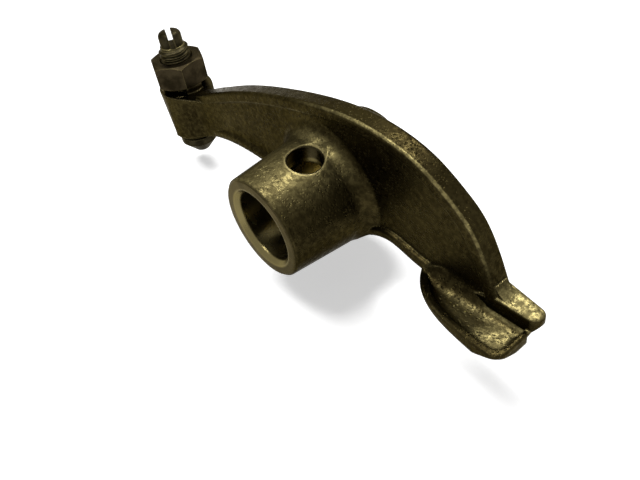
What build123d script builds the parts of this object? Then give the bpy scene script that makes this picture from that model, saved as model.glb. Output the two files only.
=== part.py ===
from build123d import *
import os
from math import cos, radians, sqrt, tan

# Rocker arm for an overhead-camshaft engine, with its valve adjuster.
# Millimetres, +Z up.  The origin is where the axis of the shaft bore crosses the
# middle plane of the arm.  +Y runs along the bore, -X points to the adjuster and
# +X to the slipper that rides on the cam.

# ---- shaft hub ----
bore_d = 16.0
bore_chamfer = 1.0
hub_near = 20.0          # middle plane to the end face on the -Y side
hub_far = 13.3           # middle plane to the end face on the +Y side
hub_root_r = 12.9        # hub radius where it meets the web
hub_draft = 4.3          # forging draft of the hub, degrees
hub_edge = 0.5
hub_foot_r = 4.0         # fillet between hub and web

# ---- oil hole into the bore ----
oil_d = 7.4
oil_y = -7.9
oil_tilt = 12.5          # from +Z towards +X, degrees
oil_chamfer = 0.5

# ---- I-section arm ----
web_t = 2.6
flange_w = 4.6
flange_t = 2.4
flange_round = 0.8       # outer edges of the flange and the ribs
pocket_round = 0.9       # inner corners between web and flange

# ---- adjuster boss and spot face ----
screw_x = -61.2
boss_top_z = 3.3
boss_bottom_z = -11.0
boss_top_r = 6.8
boss_bottom_r = 6.0
spot_r = 9.6             # round cut that frees the nut from the arm
seat_r = 6.3             # raised seat that the nut bears on
seat_z = 4.9
boss_edge = 0.6

# ---- adjusting screw and locknut, M8 x 1.25 ----
thread_d = 8.0
thread_gap = 0.05        # radial clearance of the plain shank in its holes
thread_top_z = 14.8
tip_d = 6.0
tip_top_z = 18.6
slot_w = 1.3
slot_depth = 3.8
slot_angle = -33.0       # direction of the slot about +Z, degrees
tip_edge = 0.5
foot_d = 10.4            # collar that bears on the valve stem side
foot_t = 2.2
foot_gap = 0.2           # collar below the boss, screw drawn up
foot_cone = 3.4          # height of the cone under the collar
foot_nose_d = 4.2
foot_nose = 0.5          # height of the rounded nose under the cone
foot_edge = 0.4
nut_af = 13.0
nut_h = 6.5
nut_angle = -21.0        # direction of one corner about +Z, degrees
nut_chamfer_angle = 30.0

# ---- slipper end ----
pad_x0 = 26.6            # heel end of the wing
pad_toe_x = 52.4
pad_near_y = 10.6        # reach of the wing on the -Y side
pad_far_y = 2.6          # edge of the pad on the +Y side
rim_top_z = -4.7         # top of the rim at the toe
rim_heel_z = -5.9        # and at the heel, where the hollow fades out
rim_w = 1.3              # wall of the rim
rim_toe_w = 0.9          # and across the toe
rim_round = 0.45
pocket_floor_z = -6.4
hollow_round = 1.6       # foot of the rim, inside the hollow
blend_round = 3.4        # hollow curve between the web and the pocket floor
pad_corner_r = 2.2
pad_lower_round = 1.7
relief_run = 8.0         # the lower toe corner is ground away over this width
relief_drop = 3.4
toe_cut_y = 2.9          # far of this line the toe is cut back from below
toe_cut_z = -5.5
toe_cut_rise = 0.28      # rise of that cut for each mm towards +Y
pad_mid_z = -8.6         # lowest point of the ground cam face
cam_mid_x = 45.0
cam_r = 90.0             # radius of the cam face
tongue_near_y = 2.2      # straight side, towards -Y
tongue_far_y = 1.5       # far side at the tip
tongue_root_y = 3.1      # and at the root
tongue_nose = 1.7        # depth of the rounded tip
tongue_top_z = -2.0
tongue_tip_x = 53.5
tongue_edge = 0.5
tongue_x0 = 43.0
flare_x = 36.5           # where the web starts to thicken into the tongue
tongue_root_r = 2.3      # hollow curve from the flange down onto the tongue

# Upper edge of the arm, from the spot face over the hub and down to the tongue.
arm_top = [
    (-57.0, 3.6),
    (-51.4, 4.3),
    (-45.5, 6.7),
    (-39.5, 9.1),
    (-32.0, 12.0),
    (-23.2, 14.9),
    (-11.3, 18.0),
    (0.0, 20.3),
    (10.0, 21.4),
    (20.1, 20.8),
    (28.0, 18.5),
    (34.4, 14.6),
    (38.8, 10.8),
    (41.6, 6.4),
    (43.4, 2.4),
]
arm_end = (45.4, -2.8)

# Lower edge from the boss to the hub, and from the hub to the heel of the pad.
arm_left = [(-56.0, -9.4), (-47.2, -6.8), (-38.0, -4.8), (-28.0, -4.2), (-12.0, -5.0)]
arm_right = [(10.0, -8.6), (14.0, -5.9), (18.8, -4.7), (22.8, -5.5)]

# Outer edge of the wing in plan, from the heel to the toe corner.
wing_edge = [
    (26.4, -1.0),
    (29.2, -4.7),
    (32.2, -7.1),
    (37.6, -9.2),
    (43.0, -10.1),
    (46.8, -pad_near_y),
]

os.makedirs("parts", exist_ok=True)


def under_z(x, drop=0.0):
    """Height of the convex underside at x, or of the arc that lies `drop` below it."""
    r = cam_r + drop
    return pad_mid_z + cam_r - sqrt(r * r - (x - cam_mid_x) ** 2)


def turned(profile, x=0.0, y=0.0):
    """Full turn of a radius/height outline about the vertical line through x, y."""
    outline = Polyline(*profile, close=True)
    return Pos(x, y, 0) * revolve(make_face(Plane.XZ * outline), Axis.Z)


def laid(solid):
    """A solid made about +Z, laid so that its +Z runs along -Y."""
    return Rot(90, 0, 0) * solid


def side_face(edges):
    """Face in the side plane from edges given as x, z."""
    return Plane.XZ * make_face(edges)


def slab(face, near, far):
    """Side face made solid from y = -near to y = far."""
    return Pos(0, far, 0) * extrude(face, amount=near + far, dir=(0, -1, 0))


def edges_where(shape, test):
    """Edges of a shape whose middle point passes a test."""
    return shape.edges().filter_by(lambda e: test(e.position_at(0.5)))


# ---- arm: a web with a flange along the top and a rib along the bottom ----
def inset(points, depth, side=1):
    """Points moved square to the run of the line, to its right for side=1."""
    moved = []
    for k, (x, z) in enumerate(points):
        ax, az = points[max(k - 1, 0)]
        bx, bz = points[min(k + 1, len(points) - 1)]
        run = sqrt((bx - ax) ** 2 + (bz - az) ** 2)
        moved.append((x + side * depth * (bz - az) / run, z - side * depth * (bx - ax) / run))
    return moved


def band(points, depth, side=1):
    """Flange of the arm: the outer line, the inner line and the two ends."""
    inner = inset(points, depth, side)
    face = side_face(
        [
            Spline(*points),
            Line(points[-1], inner[-1]),
            Spline(*inner),
            Line(inner[0], points[0]),
        ]
    )
    return slab(face, flange_w / 2, flange_w / 2)


top_line = arm_top + [arm_end]
heel = (pad_x0 + 2, under_z(pad_x0 + 2) + 0.4)
right_line = arm_right + [heel]


def arm_face(depth):
    """Side outline of the arm without the pad, drawn in by depth all round."""
    top = inset(top_line, depth)
    left = inset(arm_left, depth, -1)
    right = inset(right_line, depth, -1)
    foot = (top[-1][0], pocket_floor_z - 0.8)
    toe = (top[-1][0], top[-1][1])
    return side_face(
        [
            Spline(*top),
            Line(toe, foot),
            Line(foot, right[-1]),
            Spline(*right),
            Line(right[0], left[-1]),
            Spline(*left),
            Line(left[0], (screw_x, left[0][1])),
            Line((screw_x, left[0][1]), (screw_x, top[0][1])),
            Line((screw_x, top[0][1]), top[0]),
        ]
    )


web = slab(arm_face(flange_t / 2), web_t / 2, web_t / 2)
top_flange = band(top_line, flange_t)
top_flange = fillet(top_flange.edges().sort_by(SortBy.LENGTH)[-2:], flange_round)
left_rib = band(arm_left, flange_t, -1)
left_rib = fillet(left_rib.edges().sort_by(SortBy.LENGTH)[-4:], flange_round)
right_rib = band(right_line, flange_t, -1)
right_rib = fillet(right_rib.edges().sort_by(SortBy.LENGTH)[-4:], flange_round)
arm = web + top_flange + left_rib + right_rib


# ---- neck that widens the arm into the adjuster boss ----
neck_edge = [(-60.2, 6.9), (-56.5, 6.0), (-53.2, 4.4), (-50.0, 2.9), (-45.0, 2.0), (-40.0, 0.6)]
neck_other = [(x, -y) for x, y in neck_edge]
neck_plan = make_face(
    [
        Spline(*neck_edge),
        Line(neck_edge[-1], neck_other[-1]),
        Spline(*neck_other),
        Line(neck_other[0], neck_edge[0]),
    ]
)
neck = extrude(Pos(0, 0, boss_bottom_z) * neck_plan, amount=25) & slab(arm_face(0.3), 8, 8)
neck_run = neck_edge[-1][0] - screw_x
neck_reach = 10.0


# ---- hub with its fillet into the web ----
def hub_r(h):
    """Radius of the drafted hub at distance h from the middle plane."""
    return hub_root_r - abs(h) * tan(radians(hub_draft))


hub = turned(
    [
        (0, -hub_far),
        (hub_r(hub_far) - hub_edge, -hub_far),
        (hub_r(hub_far), -hub_far + hub_edge),
        (hub_root_r, 0),
        (hub_r(hub_near), hub_near - hub_edge),
        (hub_r(hub_near) - hub_edge, hub_near),
        (0, hub_near),
    ]
)
# The fillet takes no more than the web that is left between hub and top flange.
foot_h = web_t / 2 - 0.1
web_room = dict(arm_top)[0.0] - flange_t - hub_root_r
hub_fillet = min(hub_foot_r, web_room - pocket_round)
foot_in = hub_r(foot_h + hub_fillet)
foot_out = foot_in + hub_fillet
foot_bend = hub_fillet * (1 - sqrt(0.5))
foot_face = make_face(
    [
        Line((0, -foot_h), (foot_out, -foot_h)),
        Line((foot_out, -foot_h), (foot_out, foot_h)),
        ThreePointArc(
            (foot_out, foot_h),
            (foot_in + foot_bend, foot_h + foot_bend),
            (foot_in, foot_h + hub_fillet),
        ),
        Line((foot_in, foot_h + hub_fillet), (0, foot_h + hub_fillet)),
        Line((0, foot_h + hub_fillet), (0, -foot_h)),
    ]
)
hub_foot = revolve(Plane.XZ * foot_face, Axis.Z)
hub_feet = (laid(hub_foot) + mirror(laid(hub_foot), Plane.XZ)) & slab(arm_face(0.2), 9, 9)
arm = arm + neck + hub_feet + laid(hub)

# ---- adjuster boss, with the raised seat for the nut ----
boss = turned(
    [
        (0, boss_bottom_z),
        (boss_bottom_r - boss_edge, boss_bottom_z),
        (boss_bottom_r, boss_bottom_z + boss_edge),
        (boss_top_r, boss_top_z),
        (seat_r, boss_top_z),
        (seat_r, seat_z),
        (0, seat_z),
    ],
    screw_x,
)
spot_cut = Pos(screw_x, 0, boss_top_z) * Cylinder(
    spot_r, 20, align=(Align.CENTER, Align.CENTER, Align.MIN)
)
arm = arm - spot_cut + boss

# Rounds where the web meets the flange and the ribs.
root_lines = edges_where(arm, lambda p: abs(abs(p.Y) - web_t / 2) < 0.01)
long_roots = root_lines.filter_by(lambda e: e.length > 20 and e.geom_type != GeomType.CIRCLE)
arm = fillet(long_roots, pocket_round)

# The neck stops level with the spot face; only the flange rises above it.
shoulder = Box(
    neck_run, neck_reach, 2 * neck_reach, align=(Align.MIN, Align.MIN, Align.MIN)
)
shoulder = Pos(screw_x, flange_w / 2, boss_top_z) * shoulder
arm = arm - shoulder - mirror(shoulder, Plane.XZ)

# ---- wing that carries the slipper, hollow on top ----
corner_mid = pad_corner_r * (1 - sqrt(0.5))


def wing_face(wall, far_y):
    """Plan of the wing, drawn in by wall along its outer edge, out to far_y."""
    edge = inset(wing_edge, wall, -1)
    (xa, ya), (xb, yb) = edge[:2]
    edge[0] = (xa + (xb - xa) * (far_y - ya) / (yb - ya), far_y)
    r = pad_corner_r
    x1, y1 = pad_toe_x - wall * rim_toe_w / rim_w, -pad_near_y + wall
    return make_face(
        [
            Spline(*edge),
            Line(edge[-1], (x1 - r, y1)),
            ThreePointArc((x1 - r, y1), (x1 - corner_mid, y1 + corner_mid), (x1, y1 + r)),
            Line((x1, y1 + r), (x1, far_y)),
            Line((x1, far_y), edge[0]),
        ]
    )


def rim_z(x):
    """Height of the rim, which falls from the toe to the heel."""
    return rim_top_z + (rim_heel_z - rim_top_z) * (pad_toe_x - x) / (pad_toe_x - pad_x0)


wing_x0 = wing_edge[0][0] - 1
wing_x1 = pad_toe_x + 1
wing_side = side_face(
    [
        ThreePointArc(
            (wing_x0, under_z(wing_x0)), (cam_mid_x, pad_mid_z), (wing_x1, under_z(wing_x1))
        ),
        Line((wing_x1, under_z(wing_x1)), (wing_x1, rim_z(wing_x1))),
        Line((wing_x1, rim_z(wing_x1)), (wing_x0, rim_z(wing_x0))),
        Line((wing_x0, rim_z(wing_x0)), (wing_x0, under_z(wing_x0))),
    ]
)
wing = slab(wing_side, pad_near_y + 1, pad_far_y)
wing = wing & extrude(Pos(0, 0, -20) * wing_face(0, pad_far_y), amount=30)
near_edges = wing.edges().filter_by(lambda e: e.position_at(0.5).Y < -3)
low_edges = near_edges.filter_by(
    lambda e: e.position_at(0.5).Z < rim_z(e.position_at(0.5).X) - 0.7
)
low_edges = low_edges.filter_by(lambda e: e.position_at(0.5).X < pad_toe_x - 0.2)
wing = fillet(low_edges, pad_lower_round)
rim_edges = edges_where(wing, lambda p: abs(p.Z - rim_z(p.X)) < 0.01 and p.Y < -3)
wing = fillet(rim_edges, rim_round)
relief = Plane(
    origin=(pad_toe_x, -pad_near_y, rim_top_z - 0.3),
    x_dir=(0, relief_run, -relief_drop),
    z_dir=(relief_drop, -relief_drop, -relief_run),
)
wing = wing - relief * Box(60, 60, 30, align=(Align.CENTER, Align.CENTER, Align.MIN))
hollow = extrude(Pos(0, 0, pocket_floor_z) * wing_face(rim_w, 0.05 - web_t / 2), amount=6)
floor_lines = edges_where(hollow, lambda p: abs(p.Z - pocket_floor_z) < 0.01)
wing = wing - fillet(floor_lines, hollow_round)

# The web runs down into the hollow in a wide hollow curve.
blend_y = -web_t / 2 - blend_round
blend_z = pocket_floor_z + blend_round
blend_bend = blend_round * sqrt(0.5)
blend_face = make_face(
    [
        Line((-0.5, pocket_floor_z - 0.5), (blend_y, pocket_floor_z - 0.5)),
        Line((blend_y, pocket_floor_z - 0.5), (blend_y, pocket_floor_z)),
        ThreePointArc(
            (blend_y, pocket_floor_z),
            (blend_y + blend_bend, blend_z - blend_bend),
            (-web_t / 2, blend_z),
        ),
        Line((-web_t / 2, blend_z), (-0.5, blend_z)),
        Line((-0.5, blend_z), (-0.5, pocket_floor_z - 0.5)),
    ]
)
blend = extrude(Plane.YZ.offset(wing_x0) * blend_face, amount=pad_toe_x - rim_w / 2 - wing_x0)
blend = blend & extrude(Pos(0, 0, -20) * wing_face(rim_w / 2, 0), amount=30)
fade_face = side_face(
    Polyline(
        (pad_x0, pocket_floor_z - 1),
        (pad_x0, pocket_floor_z + 0.5),
        (pad_x0 + 2 * blend_round, blend_z + 0.1),
        (pad_toe_x, blend_z + 0.1),
        (pad_toe_x, pocket_floor_z - 1),
        close=True,
    )
)
blend = blend & slab(fade_face, 8, 1)

# ---- tongue along the toe ----
tongue_side = side_face(
    Polyline(
        (tongue_x0, pocket_floor_z - 0.6),
        (pad_toe_x - 1.5, pocket_floor_z - 0.6),
        (pad_toe_x, rim_top_z - 0.4),
        (tongue_tip_x, tongue_top_z - 1.6),
        (tongue_tip_x, tongue_top_z),
        (tongue_x0, tongue_top_z),
        close=True,
    )
)
tip_mid = (tongue_tip_x, (tongue_far_y - tongue_near_y) / 2 - 0.2)
tip_near = (tongue_tip_x - tongue_nose, -tongue_near_y)
tip_far = (tongue_tip_x - tongue_nose + 0.4, tongue_far_y)
tongue_plan = make_face(
    [
        Line((tongue_x0, -tongue_near_y), tip_near),
        ThreePointArc(tip_near, tip_mid, tip_far),
        Line(tip_far, (tongue_x0, tongue_root_y)),
        Line((tongue_x0, tongue_root_y), (tongue_x0, -tongue_near_y)),
    ]
)
tongue = slab(tongue_side, tongue_root_y, tongue_root_y)
tongue = tongue & extrude(Pos(0, 0, -10) * tongue_plan, amount=10)
tongue_rim = edges_where(tongue, lambda p: p.Z > tongue_top_z - 0.01 and p.X > 43.5)
tongue = fillet(tongue_rim, tongue_edge)

# The web thickens into the tongue.
flare_side = side_face(
    Polyline(
        (flare_x, pocket_floor_z - 0.6),
        (tongue_x0 + 1, pocket_floor_z - 0.6),
        (tongue_x0 + 1, tongue_top_z - 0.6),
        (flare_x, pocket_floor_z + 0.6),
        close=True,
    )
)
flare_in = web_t / 2 - 0.05
flare_out = tongue_near_y - 0.02
flare_plan = make_face(
    Polyline(
        (flare_x, -flare_in),
        (tongue_x0 + 1, -flare_out),
        (tongue_x0 + 1, flare_out),
        (flare_x, flare_in),
        close=True,
    )
)
flare = slab(flare_side, tongue_near_y, tongue_near_y)
flare = flare & extrude(Pos(0, 0, -10) * flare_plan, amount=10)

# The end of the flange runs out onto the tongue in a small hollow curve.
root_top = (arm_end[0] - 0.9, tongue_top_z + tongue_root_r)
root_end = (arm_end[0] - 0.3 + tongue_root_r, tongue_top_z)
root_mid = (root_end[0] - tongue_root_r * 0.66, tongue_top_z + tongue_root_r * 0.27)
root_face = side_face(
    [
        ThreePointArc(root_top, root_mid, root_end),
        Line(root_end, (root_end[0], tongue_top_z - 0.5)),
        Line((root_end[0], tongue_top_z - 0.5), (root_top[0] - 1.5, tongue_top_z - 0.5)),
        Line((root_top[0] - 1.5, tongue_top_z - 0.5), root_top),
    ]
)
tongue_foot = slab(root_face, tongue_near_y - tongue_edge, flange_w / 2 - flange_round)
body = arm + wing + blend + tongue + flare + tongue_foot

# On the far side the lower toe corner is cut back under the tongue.
toe_plane = Plane(
    origin=(pad_toe_x, -toe_cut_y, toe_cut_z),
    x_dir=(0, 1, toe_cut_rise),
    z_dir=(0.5, toe_cut_rise, -1),
)
toe_cut = toe_plane * Box(40, 40, 20, align=(Align.CENTER, Align.CENTER, Align.MIN))
toe_room = Box(20, 8, 20, align=(Align.MIN, Align.MIN, Align.MAX))
body = body - (toe_cut & Pos(tongue_x0, -toe_cut_y, tongue_top_z - 1) * toe_room)

# ---- bore, oil hole and screw hole ----
bore = laid(
    turned(
        [
            (0, -hub_far - 1),
            (bore_d / 2 + bore_chamfer + 1, -hub_far - 1),
            (bore_d / 2, -hub_far + bore_chamfer),
            (bore_d / 2, hub_near - bore_chamfer),
            (bore_d / 2 + bore_chamfer + 1, hub_near + 1),
            (0, hub_near + 1),
        ]
    )
)
oil_r = oil_d / 2
oil_rim = hub_r(oil_y)
oil = turned(
    [
        (0, 0),
        (oil_r, 0),
        (oil_r, oil_rim - oil_chamfer),
        (oil_r + oil_chamfer + 1.0, oil_rim + 1.0),
        (0, oil_rim + 1.0),
    ]
)
oil = Pos(0, oil_y, 0) * Rot(0, oil_tilt, 0) * oil
hole_r = thread_d / 2 + thread_gap
screw_hole = turned(
    [
        (0, boss_bottom_z - 1),
        (hole_r + 1.5, boss_bottom_z - 1),
        (hole_r, boss_bottom_z + 0.5),
        (hole_r, seat_z - 0.5),
        (hole_r + 1.5, seat_z + 1),
        (0, seat_z + 1),
    ],
    screw_x,
)
body = body - bore - oil - screw_hole

# ---- adjusting screw ----
foot_top = boss_bottom_z - foot_gap
foot_low = foot_top - foot_t
foot_r = foot_d / 2
nose_r = foot_nose_d / 2
nose_top = foot_low - foot_cone
nose_low = nose_top - foot_nose
nose_ball = (nose_r * nose_r + foot_nose * foot_nose) / (2 * foot_nose)
shank_r = thread_d / 2
tip_r = tip_d / 2
screw_face = make_face(
    [
        ThreePointArc(
            (0, nose_low),
            (nose_r / 2, nose_low + nose_ball - sqrt(nose_ball**2 - nose_r**2 / 4)),
            (nose_r, nose_top),
        ),
        Polyline(
            (nose_r, nose_top),
            (foot_r, foot_low),
            (foot_r, foot_top - foot_edge),
            (foot_r - foot_edge, foot_top),
            (shank_r, foot_top),
            (shank_r, thread_top_z - 0.7),
            (shank_r - 0.7, thread_top_z),
            (tip_r, thread_top_z),
            (tip_r, tip_top_z - tip_edge),
            (tip_r - tip_edge, tip_top_z),
            (0, tip_top_z),
            (0, nose_low),
        ),
    ]
)
screw = Pos(screw_x, 0, 0) * revolve(Plane.XZ * screw_face, Axis.Z)
slot = Box(thread_d + 2, slot_w, slot_depth * 2)
screw = screw - Pos(screw_x, 0, tip_top_z) * Rot(0, 0, slot_angle) * slot

# ---- locknut ----
nut_r = nut_af / 2
corner_r = nut_r / cos(radians(30))
nut_blank = extrude(
    Pos(screw_x, 0, seat_z) * Rot(0, 0, nut_angle) * RegularPolygon(corner_r, 6),
    amount=nut_h,
)
crown = (corner_r + 0.5 - nut_r + 0.1) * tan(radians(nut_chamfer_angle))
nut_envelope = turned(
    [
        (0, 0),
        (nut_r - 0.1, 0),
        (corner_r + 0.5, crown),
        (corner_r + 0.5, nut_h - crown),
        (nut_r - 0.1, nut_h),
        (0, nut_h),
    ],
    screw_x,
)
nut_hole = turned(
    [
        (0, -1),
        (hole_r + 1.5, -1),
        (hole_r, 0.5),
        (hole_r, nut_h - 0.5),
        (hole_r + 1.5, nut_h + 1),
        (0, nut_h + 1),
    ],
    screw_x,
)
nut = nut_blank & (Pos(0, 0, seat_z) * nut_envelope)
nut = nut - Pos(0, 0, seat_z) * nut_hole

for name, solid in {
    "rocker_arm": body,
    "adjusting_screw": screw,
    "locknut": nut,
}.items():
    print(name, len(solid.solids()), round(solid.volume, 1), solid.is_valid)
    export_step(solid, "parts/" + name + ".step")
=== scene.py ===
# %% [markdown]
# # Rocker arm with its valve adjuster
# A rocker arm turns on a shaft and passes the cam's lift on to a valve. This one is a steel
# forging: a long hub, a thin web with a flange round it, a pad for the cam at one end and a
# boss at the other that holds a slotted adjusting screw and its locknut.
# The forged arm and the nut already have their true shape, so they only get finishes. The
# screw gets a new mesh, because a real thread catches the light in a way no plain rod does.

import math

import bmesh
import bpy
from mathutils import Matrix, Vector


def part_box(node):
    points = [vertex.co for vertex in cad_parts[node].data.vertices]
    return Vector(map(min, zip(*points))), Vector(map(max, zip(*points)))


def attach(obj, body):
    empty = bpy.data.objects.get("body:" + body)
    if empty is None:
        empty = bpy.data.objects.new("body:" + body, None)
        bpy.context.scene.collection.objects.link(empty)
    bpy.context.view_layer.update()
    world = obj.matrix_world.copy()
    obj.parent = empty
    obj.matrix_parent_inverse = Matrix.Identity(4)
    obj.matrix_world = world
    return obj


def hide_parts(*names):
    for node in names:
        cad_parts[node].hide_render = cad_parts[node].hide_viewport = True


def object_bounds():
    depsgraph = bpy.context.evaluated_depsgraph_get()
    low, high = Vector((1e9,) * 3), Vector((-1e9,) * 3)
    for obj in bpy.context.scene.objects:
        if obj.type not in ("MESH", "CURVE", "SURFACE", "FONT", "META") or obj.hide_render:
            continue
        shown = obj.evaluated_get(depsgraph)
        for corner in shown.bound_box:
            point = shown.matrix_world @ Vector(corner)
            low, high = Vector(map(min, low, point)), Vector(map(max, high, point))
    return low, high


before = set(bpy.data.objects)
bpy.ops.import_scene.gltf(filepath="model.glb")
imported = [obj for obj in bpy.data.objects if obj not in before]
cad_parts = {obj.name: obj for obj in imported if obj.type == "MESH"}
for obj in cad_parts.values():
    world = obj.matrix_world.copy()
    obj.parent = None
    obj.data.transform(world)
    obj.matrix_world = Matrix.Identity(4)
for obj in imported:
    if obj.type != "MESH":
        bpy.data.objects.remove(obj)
bpy.context.scene.view_settings.view_transform = "Standard"
cad_box = [list(corner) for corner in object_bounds()]
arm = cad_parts["rocker_arm"]
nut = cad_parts["locknut"]
MM = 0.001
print("part box in mm:", [[round(v / MM, 2) for v in corner] for corner in cad_box])

# %% [markdown]
# ## The camera
# A part this small is seen from close by, so the lens and the distance set how strongly the
# near end of the hub grows. The camera's turn is written as two directions, right and up, and
# the third, back towards the viewer, follows from them. That keeps the turn easy to read, and
# the quaternion in between makes the three exactly square to each other.

# %% Camera
RIGHT = Vector((0.642, 0.755, -0.135))
UP = Vector((-0.447, 0.511, 0.734))
CAMERA_PLACE = (0.0911, -0.0662, 0.0846)
SENSOR_MM = 36.0
LENS_MM = 36.56
NEAREST_SEEN = 5 * MM
back = RIGHT.cross(UP)
turn = Matrix((RIGHT, UP, back)).transposed().to_quaternion().to_matrix()
camera_data = bpy.data.cameras.new("three_quarter_camera")
camera_data.sensor_width = SENSOR_MM
camera_data.lens = LENS_MM
camera_data.clip_start = NEAREST_SEEN
camera = bpy.data.objects.new("three_quarter_camera", camera_data)
camera.matrix_world = Matrix.Translation(CAMERA_PLACE) @ turn.to_4x4()
bpy.context.scene.collection.objects.link(camera)
bpy.context.scene.camera = camera
print("camera at", [round(v, 4) for v in camera.matrix_world.translation])

# %% [markdown]
# ## Short calls that build a finish
# A finish in Blender is a tree of small nodes, joined from socket to socket. It could be put
# together by hand in the shader editor. Written out in full here it would hide the idea, so
# a few helpers come first, and more follow where they are needed.


# %% Helpers for sums on sockets
def add_math(tree, operation, *values, clamp=False):
    """A math node on one or two sockets or numbers; more are taken in one by one."""
    if len(values) > 2:
        values = (add_math(tree, operation, *values[:-1]), values[-1])
    node = tree.nodes.new("ShaderNodeMath")
    node.operation = operation
    node.use_clamp = clamp
    for socket, value in zip(node.inputs, values):
        if isinstance(value, (int, float)):
            socket.default_value = value
        else:
            tree.links.new(value, socket)
    return node.outputs[0]


def multiply(tree, *values):
    """The product of sockets or numbers."""
    return add_math(tree, "MULTIPLY", *values)


def add_up(tree, *values, clamp=False):
    """The sum of sockets or numbers."""
    return add_math(tree, "ADD", *values, clamp=clamp)


print("sums are ready")


# %% Helpers for ranges
def add_range(tree, value, start, end, out_start=0.0, out_end=1.0):
    """Takes a socket smoothly from one value at start to another at end."""
    node = tree.nodes.new("ShaderNodeMapRange")
    node.interpolation_type = "SMOOTHSTEP"
    tree.links.new(value, node.inputs["Value"])
    node.inputs["From Min"].default_value = start
    node.inputs["From Max"].default_value = end
    node.inputs["To Min"].default_value = out_start
    node.inputs["To Max"].default_value = out_end
    return node.outputs["Result"]


def between(tree, share, pair):
    """Goes smoothly from the first number of a pair to the second with the share."""
    return add_range(tree, share, 0.0, 1.0, *pair)


print("ranges are ready")

# %% [markdown]
# ## Table and surround
# Steel has hardly any colour of its own: it shows its form through what it reflects. The
# surround looks white to the eye and to the metal, but for everything else it is dim, so the
# part still throws a shadow. A table that is only lit looks grey beside it, so the table also
# glows a little where it is seen, and far out it turns into plain white light, which leaves
# no grey band at its horizon. It lies below the lowest point that the screw reaches when it
# is screwed down.


# %% Which rays see white
def seen_rays(tree):
    """One for a camera, glossy or transmission ray, and zero for any other."""
    rays = tree.nodes.new("ShaderNodeLightPath").outputs
    kinds = ("Is Camera Ray", "Is Glossy Ray", "Is Transmission Ray")
    return add_up(tree, *[rays[kind] for kind in kinds], clamp=True)


WHITE = (1, 1, 1, 1)
FULL_LIGHT = 1.0
print("white is", WHITE, "at strength", FULL_LIGHT)

# %% Table
TABLE_DROP = 3.9 * MM
TABLE_HALF = 3.0
TABLE_PAINT = (0.8, 0.8, 0.8, 1)
TABLE_ROUGHNESS = 0.9
TABLE_GLOW = 0.5
FADE_START, FADE_END = 0.16, 0.40

table_z = cad_box[0][2] - TABLE_DROP
shape = bmesh.new()
bmesh.ops.create_grid(shape, x_segments=2, y_segments=2, size=TABLE_HALF)
bmesh.ops.translate(shape, verts=shape.verts, vec=(0, 0, table_z))
table_mesh = bpy.data.meshes.new("table")
shape.to_mesh(table_mesh)
shape.free()
table = bpy.data.objects.new("table", table_mesh)
bpy.context.scene.collection.objects.link(table)
print("table at z", round(table_z, 4))


# %% White finish of the table
def white_table(name):
    """White paint that glows a little where it is seen and fades to white light far out."""
    finish = bpy.data.materials.new(name)
    finish.use_nodes = True
    tree = finish.node_tree
    paint = tree.nodes["Principled BSDF"]
    paint.inputs["Base Color"].default_value = TABLE_PAINT
    paint.inputs["Roughness"].default_value = TABLE_ROUGHNESS
    paint.inputs["Emission Color"].default_value = WHITE
    seen = seen_rays(tree)
    tree.links.new(multiply(tree, seen, TABLE_GLOW), paint.inputs["Emission Strength"])
    light = tree.nodes.new("ShaderNodeEmission")
    light.inputs["Color"].default_value = WHITE
    light.inputs["Strength"].default_value = FULL_LIGHT
    away = tree.nodes.new("ShaderNodeVectorMath")
    away.operation = "LENGTH"
    tree.links.new(tree.nodes.new("ShaderNodeTexCoord").outputs["Object"], away.inputs[0])
    far = add_range(tree, away.outputs["Value"], FADE_START, FADE_END)
    fade = tree.nodes.new("ShaderNodeMixShader")
    tree.links.new(multiply(tree, seen, far), fade.inputs[0])
    tree.links.new(paint.outputs[0], fade.inputs[1])
    tree.links.new(light.outputs[0], fade.inputs[2])
    tree.links.new(fade.outputs[0], tree.nodes["Material Output"].inputs["Surface"])
    return finish


table.data.materials.append(white_table("white_table"))
print("table wears", table.data.materials[0].name)

# %% White surround
DIM_LIGHT = 0.2

world = bpy.data.worlds.new("studio")
bpy.context.scene.world = world
world.use_nodes = True
tree = world.node_tree
backdrop = tree.nodes["Background"].inputs
backdrop["Color"].default_value = WHITE
strength = between(tree, seen_rays(tree), (DIM_LIGHT, FULL_LIGHT))
tree.links.new(strength, backdrop["Strength"])
print("surround", DIM_LIGHT, "to", FULL_LIGHT)

# %% [markdown]
# ## Lamps
# Metal shows a lamp as a mirror image, so a lamp's place decides where a glint lies. The back
# lamp hangs high over the far side, where its image falls along the crown of the hub. The
# front lamp hangs over the near side and lights what leans towards the viewer, such as the
# round along the flange. Each is a hand's width across, so the shadow has a soft edge.


# %% Lamps
def soft_lamp(name, place, aim, side, watts):
    """A square area lamp that points at a spot."""
    data = bpy.data.lights.new(name, "AREA")
    data.size = side
    data.energy = watts
    lamp = bpy.data.objects.new(name, data)
    facing = (Vector(aim) - Vector(place)).to_track_quat("-Z", "Y")
    lamp.matrix_world = Matrix.Translation(place) @ facing.to_matrix().to_4x4()
    bpy.context.scene.collection.objects.link(lamp)


LAMP_SIDE = 0.14
soft_lamp("front_lamp", place=(-0.10, -0.15, 0.47), aim=(0, 0, 0), side=LAMP_SIDE, watts=1.7)
soft_lamp("back_lamp", place=(-0.08, 0.235, 0.46), aim=(0.01, 0, 0), side=LAMP_SIDE, watts=2.1)

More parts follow.
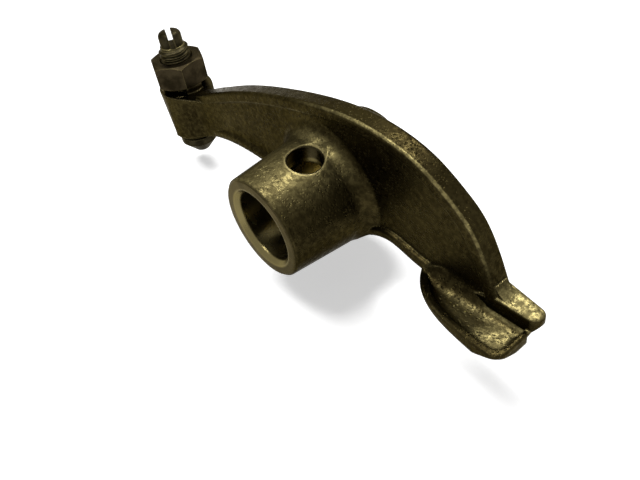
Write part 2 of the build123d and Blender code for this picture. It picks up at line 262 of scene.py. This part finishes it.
# %% [markdown]
# ## The forged steel
# The arm was shot-blasted and then oiled, so its skin is a dark warm brown with fine pits
# that sparkle. Only a few faces are cut afterwards: the bore, both ends of the hub, the seat
# under the nut, the oil hole and the cam face. Those are smoother and lighter.
# In some places a highlight is painted into the colour as brighter steel: the tongue, the
# floor of the hollow pad, the crown of the hub and the upper edge of the flange. A lighter
# ring lies at the rim of the oil hole.
# Each kind of surface could have a material of its own, given to its own faces. One finish
# does all of it here, because the arm is one piece of metal and its skins run into each
# other. Masks made from the place and the facing of the surface choose between them.

# %% Colours of the steel
SKIN_DARK = (0.0070, 0.0051, 0.0018)
SKIN_LIGHT = (0.034, 0.0265, 0.0095)
# brighter steel for the painted highlights on the tongue, the pad, the hub's crown and the
# flange's edge
PAINTED_HIGHLIGHT_STEEL = (0.185, 0.154, 0.064)
EDGE_STEEL = (0.19, 0.157, 0.068)
CUT_STEEL = (0.055, 0.044, 0.020)
CUT_DARKER = 0.6
BORE_STEEL = (0.14, 0.115, 0.048)
SIDE_TINT = (0.58, 0.555, 0.50, 1)
print("skin from", SKIN_DARK, "to", SKIN_LIGHT)


# %% Helpers for distances and shares
def distance(tree, value, centre):
    """How far a socket is from a number, either way."""
    return add_math(tree, "ABSOLUTE", add_math(tree, "SUBTRACT", value, centre))


def radius(tree, first, second):
    """The length of two sockets taken as the sides of a right angle."""
    squares = add_up(tree, multiply(tree, first, first), multiply(tree, second, second))
    return add_math(tree, "SQRT", squares)


def the_rest(tree, share):
    """What a share leaves of one."""
    return add_math(tree, "SUBTRACT", 1.0, share)


def greatest(tree, *values):
    """The largest of several sockets or numbers."""
    return add_math(tree, "MAXIMUM", *values)


print("distances are ready")


# %% Where a point lies and which way it faces
class Surface:
    """Sockets for the place and the facing of a point, in the part's own frame."""

    def __init__(self, tree):
        coords = tree.nodes.new("ShaderNodeTexCoord").outputs
        self.place = coords["Object"]
        self.x, self.y, self.z = self.split(tree, coords["Object"])
        self.face_y, self.face_z = self.split(tree, coords["Normal"])[1:]
        self.from_axis = radius(tree, self.x, self.z)

    @staticmethod
    def split(tree, vector):
        """The three parts of a vector socket."""
        node = tree.nodes.new("ShaderNodeSeparateXYZ")
        tree.links.new(vector, node.inputs[0])
        return node.outputs[:]


FACES_UP = (0.35, 0.90)
FACES_DOWN = (-0.88, -0.95)
print("faces up from", FACES_UP[0], "and down from", FACES_DOWN[0])

# %% [markdown]
# ### Masks of the cut faces
# A mask is a number from 0 to 1 over the whole surface. Here it is a product of soft ranges,
# such as "far out in X, and facing down". Painted masks would need an image, and these don't.
# The hub's axis is the Y axis of the frame, so the distance from it finds the bore, and Y
# alone finds the two ends of the hub. The seat and the flat round it are found by their
# height under the nut, and the cam face by its place and because it faces down. The oil hole
# leans a little, so its radius is measured from its own leaning axis.


# %% Helper for masks
def add_mask(tree, *limits):
    """A product of ranges; each limit is a socket and a pair: where it is 0, where it is 1."""
    return multiply(tree, *[add_range(tree, value, *pair) for value, pair in limits])


print("masks are ready")

# %% Cut faces
BORE_R = 8.0 * MM
BORE_EDGE = (BORE_R + 1.4 * MM, BORE_R + 0.9 * MM)
HUB_ENDS_Y = (-20.0 * MM, 13.3 * MM)
HUB_END_EDGE = (0.3 * MM, 0.1 * MM)
SEAT_MIDDLE_Z = 4.1 * MM
SEAT_EDGE = (1.0 * MM, 0.9 * MM)
SEAT_X = (-51.2 * MM, -51.6 * MM)
CAM_FACE_X = (27.5 * MM, 28.5 * MM)


def cut_faces(tree, spot):
    """Masks of the bore and of all faces that are cut, the oil hole apart."""
    bore = add_range(tree, spot.from_axis, *BORE_EDGE)
    ends = [add_range(tree, distance(tree, spot.y, end), *HUB_END_EDGE) for end in HUB_ENDS_Y]
    from_seat = distance(tree, spot.z, SEAT_MIDDLE_Z)
    seat = add_mask(tree, (from_seat, SEAT_EDGE), (spot.x, SEAT_X))
    cam_face = add_mask(tree, (spot.face_z, FACES_DOWN), (spot.x, CAM_FACE_X))
    return bore, greatest(tree, bore, *ends, seat, cam_face)


print("bore", BORE_R / MM, "mm, hub ends at", [round(end / MM, 1) for end in HUB_ENDS_Y])

# %% Oil hole
OIL_Y = -7.9 * MM
OIL_R = 3.7 * MM
OIL_LEAN = math.radians(12.5)
OIL_WALL = (OIL_R + 0.2 * MM, OIL_R + 0.1 * MM)
OIL_UPPER_SIDE = (0.0, 1.0 * MM)
RIM_MIDDLE_R = OIL_R + 0.4 * MM
RIM_EDGE = (0.24 * MM, 0.10 * MM)
RIM_Z = (9.0 * MM, 10.0 * MM)


def oil_hole(tree, spot):
    """Masks of the drilled wall of the oil hole and of the bright ring at its rim."""
    along_x = multiply(tree, spot.x, math.cos(OIL_LEAN))
    along_z = multiply(tree, spot.z, math.sin(OIL_LEAN))
    aside = add_math(tree, "SUBTRACT", along_x, along_z)
    reach = radius(tree, aside, add_math(tree, "SUBTRACT", spot.y, OIL_Y))
    drilled = add_mask(tree, (reach, OIL_WALL), (spot.z, OIL_UPPER_SIDE))
    from_rim = distance(tree, reach, RIM_MIDDLE_R)
    return drilled, add_mask(tree, (from_rim, RIM_EDGE), (spot.z, RIM_Z))


print("oil hole radius", round(OIL_R / MM, 2), "mm")

# %% [markdown]
# ### Masks of the painted highlights
# The highlights are painted on what stands out and faces up, where the lamps' glints fall, so
# each mask bounds a place with soft sides, and most also ask which way the surface faces. The
# start of the tongue's mask is made ragged by noise, so the painted highlight does not end on
# a line.


# %% Helper for noise
def add_noise(tree, place, scale, detail, roughness):
    """Noise with a scale in features per metre, its detail and its roughness."""
    node = tree.nodes.new("ShaderNodeTexNoise")
    node.inputs["Scale"].default_value = scale
    node.inputs["Detail"].default_value = detail
    node.inputs["Roughness"].default_value = roughness
    tree.links.new(place, node.inputs["Vector"])
    return node.outputs["Fac"]


print("noise is ready")

# %% Painted highlights on the tops
TOE_X = (42.8 * MM, 44.2 * MM)
TOE_RAGGED = 1.2 * MM
TOE_PATCHES = (500.0, 3.0, 0.6)
TONGUE_Y = (-2.9 * MM, -2.4 * MM)
PAD_X = (31.0 * MM, 40.0 * MM)
PAD_Y = (-2.6 * MM, -4.6 * MM)
PAD_Z = (-5.2 * MM, -6.0 * MM)
PAD_SHARE = 0.8
CROWN_R = (18.5 * MM, 16.5 * MM)
CROWN_Y = (-1.6 * MM, -3.2 * MM)
CROWN_Z = (6.0 * MM, 12.0 * MM)
CROWN_SHARE = 0.6


def painted_highlight_tops(tree, spot):
    """A mask of the painted highlight on the tongue, the floor of the hollow pad and the crown of
    the hub.
    """
    patches = add_noise(tree, spot.place, *TOE_PATCHES)
    toe = add_up(tree, spot.x, multiply(tree, patches, TOE_RAGGED))
    tongue = add_mask(tree, (toe, TOE_X), (spot.face_z, FACES_UP), (spot.y, TONGUE_Y))
    pad = add_mask(
        tree, (spot.y, PAD_Y), (spot.face_z, FACES_UP), (spot.x, PAD_X), (spot.z, PAD_Z)
    )
    crown = add_mask(tree, (spot.from_axis, CROWN_R), (spot.z, CROWN_Z), (spot.y, CROWN_Y))
    pad = multiply(tree, pad, PAD_SHARE)
    crown = multiply(tree, crown, CROWN_SHARE)
    return greatest(tree, tongue, pad, crown)


print("tongue from x", round(TOE_X[0] / MM, 1), "mm")

# %% Painted highlight on the edge of the flange
RIDGE_LEANS_OUT = (-0.20, -0.45)
RIDGE_NOT_WALL = (-0.97, -0.80)
RIDGE_LEANS_UP = (0.10, 0.30)
RIDGE_R = (17.0 * MM, 19.0 * MM)
RIDGE_Z = (0.0, 13.0 * MM)
RIDGE_X = (-12.0 * MM, 18.0 * MM)


def painted_highlight_ridge(tree, spot):
    """A mask of the painted highlight on the round along the flange's upper near edge, from the
    hub to the pad.
    """
    return add_mask(
        tree,
        (spot.face_y, RIDGE_LEANS_OUT),
        (spot.face_y, RIDGE_NOT_WALL),
        (spot.face_z, RIDGE_LEANS_UP),
        (spot.from_axis, RIDGE_R),
        (spot.z, RIDGE_Z),
        (spot.x, RIDGE_X),
    )


print("ridge whole from x", round(RIDGE_X[1] / MM, 1), "mm")

# %% [markdown]
# ### Colour of the forged steel
# Oil dries in broad stains, and blasting leaves a fine mottling. Both together choose
# between a dark and a light brown. Worn edges, the painted highlights and the cut faces are
# then laid over it, the first two broken up by the same mottling, so they look part of the
# skin.


# %% Helpers for patterns and blends
def add_pattern(tree, place, noise, limits):
    """Noise of which the part between two limits is stretched to run from 0 to 1."""
    return add_range(tree, add_noise(tree, place, *noise), *limits)


def add_blend(tree, share, first, second):
    """A colour that goes from first to second with the share."""
    node = tree.nodes.new("ShaderNodeMix")
    node.data_type = "RGBA"
    tree.links.new(share, node.inputs["Factor"])
    for name, value in (("A", first), ("B", second)):
        socket = [s for s in node.inputs if s.name == name and s.type == "RGBA"][0]
        if isinstance(value, tuple):
            socket.default_value = (*value, 1.0)
        else:
            tree.links.new(value, socket)
    return [s for s in node.outputs if s.type == "RGBA"][0]


print("patterns and blends are ready")

# %% Colour
STAINS, STAIN_LIMITS, STAIN_SHARE = (60.0, 3.0, 0.55), (0.35, 0.68), 0.45
MOTTLING, MOTTLE_LIMITS, MOTTLE_SHARE = (900.0, 5.0, 0.7), (0.36, 0.66), 0.55
STREAKS, STREAK_LIMITS = (220.0, 3.0, 0.5), (0.3, 0.7)
WEAR_BREAKS = (0.25, 0.75)
HIGHLIGHT_BREAKS = (0.35, 1.0)
RIM_SHARE = 0.7


def skin_colour(tree, spot, mottle, wear, painted_highlight, oil_rim):
    """Stained and mottled brown, brighter on worn edges, on painted highlights and in a ring at
    the oil hole's rim.
    """
    stains = multiply(tree, add_pattern(tree, spot.place, STAINS, STAIN_LIMITS), STAIN_SHARE)
    tone = add_up(tree, stains, multiply(tree, mottle, MOTTLE_SHARE), clamp=True)
    colour = add_blend(tree, tone, SKIN_DARK, SKIN_LIGHT)
    worn = multiply(tree, wear, between(tree, mottle, WEAR_BREAKS))
    colour = add_blend(tree, worn, colour, EDGE_STEEL)
    # the painted highlight: brighter steel laid over its mask
    bright = multiply(tree, painted_highlight, between(tree, mottle, HIGHLIGHT_BREAKS))
    colour = add_blend(tree, bright, colour, PAINTED_HIGHLIGHT_STEEL)
    return add_blend(tree, multiply(tree, oil_rim, RIM_SHARE), colour, EDGE_STEEL)


def cut_colour(tree, streaks, bore):
    """Cut steel with faint streaks, and a lighter one for the shaft's bore."""
    dark_streak = tuple(CUT_DARKER * v for v in CUT_STEEL)
    streaked = add_blend(tree, streaks, dark_streak, CUT_STEEL)
    return add_blend(tree, bore, streaked, BORE_STEEL)


print("mottling about", round(1 / MOTTLING[0] / MM, 1), "mm across")

# %% [markdown]
# ### Relief of the forged steel
# Blasted steel has shot marks and pits of about half a millimetre, on a skin that swells a
# little from the forging. Cut faces have fine rings round the hub's axis instead. Both are
# bumps in the finish: they are far too small to model.


# %% Helper for relief
def add_bump(tree, height, depth, strength, before):
    """A bump of some depth in metres, on top of the normal before it."""
    node = tree.nodes.new("ShaderNodeBump")
    node.inputs["Strength"].default_value = strength
    node.inputs["Distance"].default_value = depth
    tree.links.new(height, node.inputs["Height"])
    tree.links.new(before, node.inputs["Normal"])
    return node.outputs["Normal"]


print("bumps are ready")

# %% Relief
SWELL, SWELL_DEPTH, SWELL_STRENGTH = (160.0, 3.0, 0.5), 0.30 * MM, 0.5
SHOT, SHOT_SHARE = (1900.0, 3.0, 0.6), 0.35
PIT_SCALE, PIT_LIMITS, PIT_SHARE = 1900.0, (0.05, 0.45), 0.65
PITTED_PARTS, PITTED_LIMITS = (420.0, 2.0, 0.5), (0.40, 0.56)
BLASTED_DEPTH, BLASTED_STRENGTH = 0.16 * MM, 0.9
RING_WAVES, RING_SHARE = 21000.0, 0.25
SCRATCHES = (3000.0, 2.0, 0.5)
MARK_DEPTH, MARK_STRENGTH = 0.02 * MM, 0.6


def blasted_height(tree, spot):
    """Shot marks all over, and pits in some patches only."""
    shot = multiply(tree, add_noise(tree, spot.place, *SHOT), SHOT_SHARE)
    cells = tree.nodes.new("ShaderNodeTexVoronoi")
    cells.inputs["Scale"].default_value = PIT_SCALE
    tree.links.new(spot.place, cells.inputs["Vector"])
    pits = the_rest(tree, add_range(tree, cells.outputs["Distance"], *PIT_LIMITS))
    pitted = add_pattern(tree, spot.place, PITTED_PARTS, PITTED_LIMITS)
    between_pits = the_rest(tree, multiply(tree, pits, pitted))
    return add_up(tree, shot, multiply(tree, between_pits, PIT_SHARE))


def steel_relief(tree, spot, skin, cut, normal):
    """The normal with the forging's swell, the blasted skin and the turning marks on it."""
    swell = multiply(tree, add_noise(tree, spot.place, *SWELL), skin)
    normal = add_bump(tree, swell, SWELL_DEPTH, SWELL_STRENGTH, normal)
    blasted = multiply(tree, blasted_height(tree, spot), skin)
    normal = add_bump(tree, blasted, BLASTED_DEPTH, BLASTED_STRENGTH, normal)
    rings = add_math(tree, "SINE", multiply(tree, spot.from_axis, RING_WAVES))
    scratches = add_noise(tree, spot.place, *SCRATCHES)
    marks = multiply(tree, add_up(tree, multiply(tree, rings, RING_SHARE), scratches), cut)
    return add_bump(tree, marks, MARK_DEPTH, MARK_STRENGTH, normal)


print("rings every", round(2 * math.pi / RING_WAVES / MM, 2), "mm")

# %% [markdown]
# ### The whole finish
# A Bevel node rounds the normals at the edges, which softens them without a denser mesh, and
# where it turns a normal far from the true one there is an edge, and so wear. Blasted skin
# is satin, and the light grains of its mottling are smoother than the dark ones, which makes
# it sparkle. Where a highlight is painted the skin is a little rougher, so it glows evenly.
# Cut faces are the smoothest.

# %% Helper for worn edges
EDGE_SAMPLES = 6


def worn_edges(tree, edge_r, wear_range):
    """The normal with rounded edges, and a mask where it leaves the flat one: the edges."""
    rounded = tree.nodes.new("ShaderNodeBevel")
    rounded.samples = EDGE_SAMPLES
    rounded.inputs["Radius"].default_value = edge_r
    plain = tree.nodes.new("ShaderNodeNewGeometry")
    likeness = tree.nodes.new("ShaderNodeVectorMath")
    likeness.operation = "DOT_PRODUCT"
    tree.links.new(rounded.outputs["Normal"], likeness.inputs[0])
    tree.links.new(plain.outputs["Normal"], likeness.inputs[1])
    return rounded.outputs["Normal"], add_range(tree, likeness.outputs["Value"], *wear_range)


print("worn edges are ready")


# %% Helper for a bare metal
def metal(name, colour_rough_normal):
    """A bare metal; the second argument adds its nodes and gives three sockets."""
    finish = bpy.data.materials.new(name)
    finish.use_nodes = True
    tree = finish.node_tree
    shader = tree.nodes["Principled BSDF"].inputs
    shader["Metallic"].default_value = 1.0
    shader["Specular Tint"].default_value = SIDE_TINT
    for kind, socket in zip(("Base Color", "Roughness", "Normal"), colour_rough_normal(tree)):
        tree.links.new(socket, shader[kind])
    return finish


print("tint of metal at grazing angles", SIDE_TINT[:3])

# %% Forged steel on the arm
FORGED_EDGE_R = 0.6 * MM
FORGED_WEAR = (0.94, 0.76)
SKIN_ROUGHNESS = (0.42, 0.25)
HIGHLIGHT_ROUGHER = 0.12
CUT_ROUGHNESS = (0.32, 0.22)


def forged_steel(tree):
    """Blasted dark steel with highlights painted on its tops, and cut at the hub, the seat and the
    cam face.
    """
    spot = Surface(tree)
    rounded, wear = worn_edges(tree, FORGED_EDGE_R, FORGED_WEAR)
    bore, cut = cut_faces(tree, spot)
    drilled, oil_rim = oil_hole(tree, spot)
    cut = greatest(tree, cut, drilled)
    skin = the_rest(tree, cut)
    # masks of the painted highlights on the tops and along the flange's edge
    painted_highlight = greatest(tree, painted_highlight_tops(tree, spot), painted_highlight_ridge(tree, spot))
    mottle = add_pattern(tree, spot.place, MOTTLING, MOTTLE_LIMITS)
    streaks = add_pattern(tree, spot.place, STREAKS, STREAK_LIMITS)
    colour = skin_colour(tree, spot, mottle, wear, painted_highlight, oil_rim)
    colour = add_blend(tree, cut, colour, cut_colour(tree, streaks, bore))
    grain = between(tree, mottle, SKIN_ROUGHNESS)
    grain = add_up(tree, grain, multiply(tree, painted_highlight, HIGHLIGHT_ROUGHER))
    smooth = between(tree, streaks, CUT_ROUGHNESS)
    rough = add_up(tree, multiply(tree, grain, skin), multiply(tree, smooth, cut))
    return colour, rough, steel_relief(tree, spot, skin, cut, rounded)


arm.data.materials.clear()
arm.data.materials.append(metal("forged_steel", forged_steel))
print("arm wears", arm.data.materials[0].name)

# %% [markdown]
# ## The locknut
# A bought nut is forged and rolled, so its flats are smooth and only a little brown with oil.
# A new mesh would gain nothing, since its own is right already: six flats with a turned
# chamfer above and below. The same kind of finish, with other colours and another grain,
# serves the screw, so one function makes both.

# %% Oiled steel
OILED_EDGE_R = 0.3 * MM
OILED_WEAR = (0.995, 0.85)
OILED_WEAR_SHARE = 0.6
FILM_GRAIN, FILM_LIMITS = (4.0, 0.6), (0.35, 0.65)
SPECK_GRAIN, SPECK_LIMITS, SPECKS_FINER = (3.0, 0.6), (0.3, 0.7), 12
SPECK_DEPTH, SPECK_STRENGTH = 0.04 * MM, 0.5


def oiled_steel(name, dark, light, roughness, film_scale):
    """Plain steel with an uneven film of old oil and worn edges."""

    def colour_rough_normal(tree):
        place = tree.nodes.new("ShaderNodeTexCoord").outputs["Object"]
        rounded, wear = worn_edges(tree, OILED_EDGE_R, OILED_WEAR)
        film = add_pattern(tree, place, (film_scale, *FILM_GRAIN), FILM_LIMITS)
        speck_scale = film_scale * SPECKS_FINER
        specks = add_pattern(tree, place, (speck_scale, *SPECK_GRAIN), SPECK_LIMITS)
        colour = add_blend(tree, film, dark, light)
        colour = add_blend(tree, multiply(tree, wear, OILED_WEAR_SHARE), colour, EDGE_STEEL)
        rough = between(tree, specks, roughness)
        return colour, rough, add_bump(tree, specks, SPECK_DEPTH, SPECK_STRENGTH, rounded)

    return metal(name, colour_rough_normal)


print("edges rounded by", round(OILED_EDGE_R / MM, 2), "mm")

# %% Steel for the nut and the screw
nut_steel = oiled_steel(
    "nut_steel",
    dark=(0.010, 0.0075, 0.0036),
    light=(0.030, 0.023, 0.012),
    roughness=(0.30, 0.45),
    film_scale=260.0,
)
screw_steel = oiled_steel(
    "screw_steel",
    dark=(0.009, 0.0072, 0.0036),
    light=(0.030, 0.025, 0.013),
    roughness=(0.32, 0.45),
    film_scale=320.0,
)
nut.data.materials.clear()
nut.data.materials.append(nut_steel)
print("nut wears", nut.data.materials[0].name)

# %% [markdown]
# ## The adjusting screw
# The screw goes in from below: a collar with a coned nose that pushes the valve, a thread
# of 1.25 mm pitch, and a thinner tip with a screwdriver slot. The thread is one pitch of
# its outline, spun round the axis while it climbs, which gives a true helix where a stack of
# rings would only look like one from afar. The collar and the tip are turned from outlines
# of their own. The slot is turned so that it can be seen through from the camera.

# %% Sizes of the screw, the outer ones taken from the part
low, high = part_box("adjusting_screw")
axis_x = (low.x + high.x) / 2
collar_r = (high.x - low.x) / 2
nose_z = low.z
tip_z = high.z
PITCH = 1.25 * MM
THREAD_R = 4.0 * MM
THREAD_DEPTH = 0.6134 * PITCH
CORE_R = THREAD_R - THREAD_DEPTH
COLLAR_TOP = -11.2 * MM
THREAD_TOP = 14.8 * MM
TIP_R = 3.0 * MM
SLOT_W = 1.3 * MM
SLOT_TURN = math.radians(-22)
print("axis x", round(axis_x / MM, 2), "collar radius", round(collar_r / MM, 2), "mm")

# %% Helpers for turned and threaded shapes
TURN_STEPS, TURN_MERGE = 96, 0.002 * MM
CLIMB_STEPS, CLIMB_MERGE = 72, 0.004 * MM


def spin_outline(points, **spin):
    """Spins an outline of radius, height points in metres round the Z axis."""
    shape = bmesh.new()
    chain = [shape.verts.new((r, 0, z)) for r, z in points]
    edges = [shape.edges.new(pair) for pair in zip(chain, chain[1:])]
    bmesh.ops.spin(shape, geom=chain + edges, cent=(0, 0, 0), axis=(0, 0, 1), **spin)
    return shape


def turn_outline(points, steps=TURN_STEPS):
    """A closed body turned from its outline."""
    shape = spin_outline(points, angle=2 * math.pi, steps=steps, use_merge=True)
    bmesh.ops.remove_doubles(shape, verts=shape.verts, dist=TURN_MERGE)
    bmesh.ops.recalc_face_normals(shape, faces=shape.faces)
    return shape


def climb_outline(points, turns):
    """One pitch of a thread outline, spun while it climbs; turns are merged into one skin."""
    rise, steps = (0, 0, PITCH / CLIMB_STEPS), CLIMB_STEPS * turns
    shape = spin_outline(points, dvec=rise, angle=2 * math.pi * turns, steps=steps)
    bmesh.ops.remove_doubles(shape, verts=shape.verts, dist=CLIMB_MERGE)
    return shape


print("turning is ready")

# %% Helpers that cut, join and place shapes
ON_PLANE = 1e-7


def cut_off(shape, point, outward):
    """Cuts away what lies past a plane and closes the cut; gives the edges of the cut."""
    parts = shape.verts[:] + shape.edges[:] + shape.faces[:]
    cut = bmesh.ops.bisect_plane(
        shape, geom=parts, dist=ON_PLANE, plane_co=point, plane_no=outward, clear_outer=True
    )
    rim = [e for e in cut["geom_cut"] if isinstance(e, bmesh.types.BMEdge)]
    bmesh.ops.holes_fill(shape, edges=rim, sides=0)
    return rim


def join_shapes(shapes):
    """Puts the faces of several shapes into the first."""
    whole = shapes[0]
    for other in shapes[1:]:
        spare = bpy.data.meshes.new("spare")
        other.to_mesh(spare)
        other.free()
        whole.from_mesh(spare)
        bpy.data.meshes.remove(spare)
    return whole


def place_piece(shape, name, finish, smooth_deg):
    """Makes an object of a shape: on the screw's axis, smooth up to an angle."""
    bmesh.ops.translate(shape, verts=shape.verts, vec=(axis_x, 0, 0))
    bmesh.ops.recalc_face_normals(shape, faces=shape.faces)
    mesh = bpy.data.meshes.new(name)
    shape.to_mesh(mesh)
    shape.free()
    piece = bpy.data.objects.new(name, mesh)
    bpy.context.scene.collection.objects.link(piece)
    mesh.shade_smooth()
    mesh.set_sharp_from_angle(angle=math.radians(smooth_deg))
    mesh.materials.append(finish)
    return piece


print("cutting, joining and placing are ready")

# %% [markdown]
# ### Collar, nose and shank
# One turned outline gives the nose that touches the valve, the collar and the core of the
# shank. The corners are broken by short slopes, as on a turned part. They could come from a
# bevel later, but in the outline each has the size it should have.

# %% Turned collar and core
NOSE_R, NOSE_H = 2.1 * MM, 0.5 * MM
DOME_R, DOME_H = 0.55 * NOSE_R, 0.12 * MM
CONE_TOP = COLLAR_TOP - 2.2 * MM
CORNER, CORNER_LOW_IN, CORNER_MID_IN = 0.25 * MM, 0.3 * MM, 0.06 * MM
COLLAR_CHAMFER = 0.4 * MM
CORE_TOP = THREAD_TOP - 0.4 * MM
collar = turn_outline(
    [
        (0, nose_z),
        (DOME_R, nose_z + DOME_H),
        (NOSE_R, nose_z + NOSE_H),
        (collar_r - CORNER_LOW_IN, CONE_TOP - CORNER),
        (collar_r - CORNER_MID_IN, CONE_TOP),
        (collar_r, CONE_TOP + CORNER),
        (collar_r, COLLAR_TOP - COLLAR_CHAMFER),
        (collar_r - COLLAR_CHAMFER, COLLAR_TOP),
        (CORE_R, COLLAR_TOP),
        (CORE_R, CORE_TOP),
        (0, CORE_TOP),
    ]
)
print("collar faces", len(collar.faces))

# %% [markdown]
# ### The thread
# The outline of one pitch is a root, a flank, a crest and a flank, with heights as shares of
# the pitch. The thread is made longer than needed at both ends and cut flat, just above the
# collar and at the top, where a 45 degree chamfer draws the last turn in.

# %% Thread
CREST_R = THREAD_R - 0.06 * MM
CHAMFER = 0.75 * MM
THREAD_LOW = COLLAR_TOP + 0.1 * MM
THREAD_SPARE = 0.5 * MM
first_root = COLLAR_TOP - THREAD_SPARE - PITCH
turns = math.ceil((THREAD_TOP - first_root) / PITCH) + 1
one_pitch = [
    (CORE_R, 0.0),
    (CORE_R, 0.17),
    (CREST_R, 0.47),
    (THREAD_R, 0.52),
    (THREAD_R, 0.60),
    (CREST_R, 0.65),
    (CORE_R, 0.95),
    (CORE_R, 1.0),
]
thread = climb_outline([(r, first_root + share * PITCH) for r, share in one_pitch], turns)
cut_off(thread, (0, 0, THREAD_LOW), (0, 0, -1))
cut_off(thread, (0, 0, THREAD_TOP), (0, 0, 1))
for vert in thread.verts:
    reach = math.hypot(vert.co.x, vert.co.y)
    limit = THREAD_R - CHAMFER + (THREAD_TOP - vert.co.z)
    if reach > limit:
        vert.co.x *= limit / reach
        vert.co.y *= limit / reach
print("thread turns", turns, "faces", len(thread.faces))

# %% [markdown]
# ### The slotted tip
# The tip is thinner than the thread, and the slot leaves two prongs. The slot could be cut
# out with a boolean. Instead each prong is a turned bar with its crown rounded, cut off flat
# beside the slot, so that the edges round its crown are known and can be bevelled.

# %% Prongs
PRONG_LOW = THREAD_TOP - 0.6 * MM
PRONG_STEPS = 64
LIP_REACH = 3.4 * MM
LIP_BEVEL = 0.15 * MM
# the rounded crown, as mm inward from the side and mm down from the top
TIP_CROWN = [(0, 1.3), (0.10, 0.8), (0.35, 0.4), (0.80, 0.12), (1.4, 0)]


def prong(side):
    """One prong of the tip: a rounded bar, kept on one side of the slot."""
    crown = [(TIP_R - inward * MM, tip_z - drop * MM) for inward, drop in TIP_CROWN]
    bar = turn_outline([(0, PRONG_LOW), (TIP_R, PRONG_LOW), *crown, (0, tip_z)], PRONG_STEPS)
    rim = cut_off(bar, (0, side * SLOT_W / 2, 0), (0, -side, 0))
    lip_low = tip_z - LIP_REACH
    lip = [e for e in rim if e.is_valid and min(v.co.z for v in e.verts) > lip_low]
    bmesh.ops.bevel(
        bar, geom=lip, offset=LIP_BEVEL, segments=2, profile=0.5, affect="EDGES", material=-1
    )
    spin = Matrix.Rotation(SLOT_TURN, 3, "Z")
    bmesh.ops.rotate(bar, verts=bar.verts, cent=(0, 0, 0), matrix=spin)
    return bar


prongs = [prong(1), prong(-1)]
print("prong faces", [len(p.faces) for p in prongs])

# %% [markdown]
# ### The screw as one piece
# On the real screw all of this is one turned bar, so the shapes become one object. It moves
# with the body of the screw and stands for the plain rod, which stays for the physics.

# %% Put the screw together
SMOOTH_DEG = 40
screw = place_piece(
    join_shapes([collar, thread, *prongs]), "threaded_screw", screw_steel, SMOOTH_DEG
)
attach(screw, "screw")
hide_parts("adjusting_screw")
print("screw faces", len(screw.data.polygons), "box", [round(v / MM, 2) for v in screw.dimensions])
